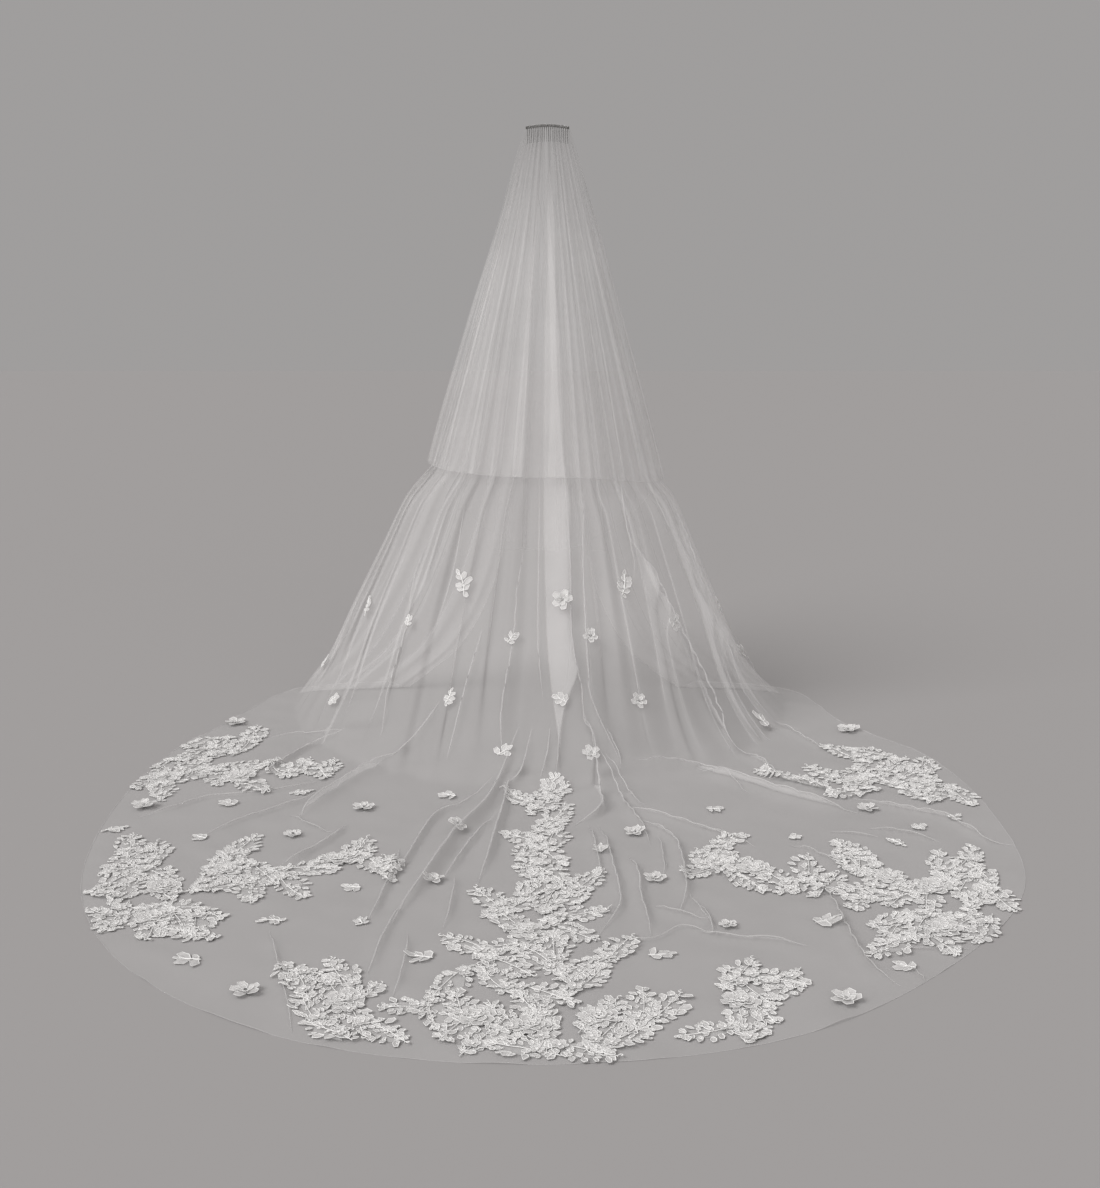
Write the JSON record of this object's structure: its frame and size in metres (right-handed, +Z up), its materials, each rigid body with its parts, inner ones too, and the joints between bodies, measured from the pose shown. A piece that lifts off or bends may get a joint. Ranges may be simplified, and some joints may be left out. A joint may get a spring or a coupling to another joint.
{
  "type": "two tier bridal veil with cathedral train",
  "caption": "Two tier tulle bridal veil on a hair comb, with a round cathedral train and lace applique sprays.",
  "frame": {"origin": "middle of the comb's bar, level with its two ends, where the veil is pinned on", "axes": "+Z up, -Y out along the train, +Y towards the wearer's face, +X to the right seen from the train"},
  "size_m": [1.8532, 1.9702, 1.426],
  "materials": {
    "tulle": "sheer soft tulle net, matt, warm ivory white",
    "lace": "corded lace applique in ivory, matt with a slight silk sheen",
    "comb_metal": "silver coloured wire comb"
  },
  "bodies": {
    "root": {"floor_sprig_1": "lace", "floor_sprig_10": "lace", "floor_sprig_11": "lace", "floor_sprig_12": "lace", "floor_sprig_13": "lace", "floor_sprig_14": "lace", "floor_sprig_15": "lace", "floor_sprig_16": "lace", "floor_sprig_17": "lace", "floor_sprig_18": "lace", "floor_sprig_19": "lace", "floor_sprig_2": "lace", "floor_sprig_20": "lace", "floor_sprig_21": "lace", "floor_sprig_22": "lace", "floor_sprig_23": "lace", "floor_sprig_24": "lace", "floor_sprig_25": "lace", "floor_sprig_26": "lace", "floor_sprig_27": "lace", "floor_sprig_28": "lace", "floor_sprig_29": "lace", "floor_sprig_3": "lace", "floor_sprig_30": "lace", "floor_sprig_31": "lace", "floor_sprig_4": "lace", "floor_sprig_5": "lace", "floor_sprig_6": "lace", "floor_sprig_7": "lace", "floor_sprig_8": "lace", "floor_sprig_9": "lace", "hair_comb": "comb_metal", "hanging_sprig_1": "lace", "hanging_sprig_10": "lace", "hanging_sprig_11": "lace", "hanging_sprig_12": "lace", "hanging_sprig_13": "lace", "hanging_sprig_14": "lace", "hanging_sprig_15": "lace", "hanging_sprig_16": "lace", "hanging_sprig_2": "lace", "hanging_sprig_3": "lace", "hanging_sprig_4": "lace", "hanging_sprig_5": "lace", "hanging_sprig_6": "lace", "hanging_sprig_7": "lace", "hanging_sprig_8": "lace", "hanging_sprig_9": "lace", "lace_centre": "lace", "lace_front_left": "lace", "lace_front_right": "lace", "lace_left_corner": "lace", "lace_left_lower": "lace", "lace_left_upper": "lace", "lace_right_band": "lace", "lace_right_corner": "lace", "lace_right_lower": "lace", "lace_right_upper": "lace", "long_tier": "tulle", "upper_tier": "tulle"}
  },
  "joints": []
}
